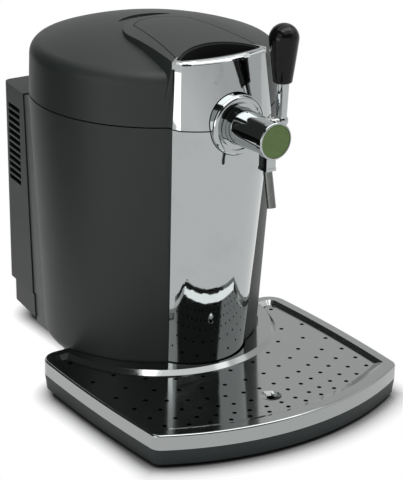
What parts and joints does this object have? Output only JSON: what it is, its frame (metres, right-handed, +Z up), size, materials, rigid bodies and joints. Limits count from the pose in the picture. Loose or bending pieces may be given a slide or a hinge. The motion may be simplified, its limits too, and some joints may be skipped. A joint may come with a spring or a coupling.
{
  "type": "mini keg beer dispenser",
  "caption": "Insulated countertop dispenser for a small keg, with hinged lid, lever tap, rear cooling module and a sliding drip tray with a perforated plate.",
  "frame": {"origin": "middle of the dispenser's footprint at table height, under the overall width and depth", "axes": "+Z up, tap and drip tray face -Y, cooling module at +Y, lever of the tap at +X"},
  "size_m": [0.3052, 0.4395, 0.388],
  "materials": {
    "body_plastic": "fine moulded texture",
    "chrome": "polished",
    "black_plastic": "moulded",
    "grey_plastic": "moulded",
    "rubber": "moulded",
    "hose": "smooth",
    "aluminium": "drawn",
    "ceramic_white": "plain",
    "foam": "foamed",
    "gloss_black": "polished",
    "badge_green": "polished",
    "plate_steel": "bright rolled",
    "screw_steel": "zinc plated",
    "board_green": "solder mask",
    "transformer_steel": "varnished"
  },
  "bodies": {
    "body": {"body_shell": "body_plastic", "lower_front_panel": "chrome", "base_pan": "black_plastic", "feet": "rubber", "body_rim": "black_plastic", "rim_seal": "rubber", "keg_well": "aluminium", "well_insulation": "foam", "tap_bracket": "black_plastic", "tap_screws": "screw_steel", "tap_collar": "chrome", "tap_body": "chrome", "badge_ring": "chrome", "badge_disc": "badge_green", "spout_block": "chrome", "spout_tube": "chrome", "beer_line": "hose", "keg_connector": "black_plastic", "hinge_bracket": "body_plastic", "hinge_pin": "screw_steel", "hinge_screws": "screw_steel", "module_frame": "body_plastic", "rear_cover": "body_plastic", "cover_screws": "screw_steel", "cold_block": "aluminium", "peltier_module": "ceramic_white", "heat_sink": "aluminium", "fan_frame": "black_plastic", "power_board": "board_green", "transformer": "transformer_steel", "power_inlet": "black_plastic", "switch_bezel": "black_plastic"},
    "lid": {"lid_shell": "body_plastic", "lid_hatch": "body_plastic", "upper_front_panel": "chrome", "finger_recess": "black_plastic", "lid_liner": "grey_plastic", "lid_insulation": "foam", "lid_hinge_leaf": "body_plastic"},
    "lever": {"lever_shaft": "chrome", "lever_stem": "chrome", "lever_knob": "gloss_black"},
    "pinch_valve": {"pinch_bar": "black_plastic"},
    "fan": {"fan_rotor": "black_plastic"},
    "switch": {"switch_rocker": "black_plastic"},
    "tray": {"tray_base": "black_plastic", "tray_pads": "rubber"},
    "plate": {"drip_plate": "plate_steel"}
  },
  "joints": [
    {"name": "lid_hinge", "type": "hinge", "parent": "body", "child": "lid", "pos_m": [0, 0.18325, 0.2885], "axis": [-1, 0, 0], "range_deg": [0, 95]},
    {"name": "lever_hinge", "type": "hinge", "parent": "body", "child": "lever", "pos_m": [0.0432, -0.10825, 0.2914], "axis": [1, 0, 0], "range_deg": [0, 50]},
    {"name": "pinch_slide", "type": "slide", "parent": "body", "child": "pinch_valve", "axis": [0, 0, 1], "range_m": [0, 0.0021]},
    {"name": "fan_spin", "type": "hinge", "parent": "body", "child": "fan", "pos_m": [0, 0.20025, 0.18], "axis": [0, 1, 0], "continuous": true},
    {"name": "switch_rock", "type": "hinge", "parent": "body", "child": "switch", "pos_m": [0.039, 0.21275, 0.1065], "axis": [1, 0, 0], "range_deg": [0, 18]},
    {"name": "tray_slide", "type": "slide", "parent": "body", "child": "tray", "axis": [0, -1, 0], "range_m": [0, 0.15]},
    {"name": "plate_lift", "type": "slide", "parent": "tray", "child": "plate", "axis": [0, 0, 1], "range_m": [0, 0.02]}
  ],
  "couplings": [
    {"joint": "pinch_slide", "follows": "lever_hinge", "m_per_rad": 0.0023}
  ]
}
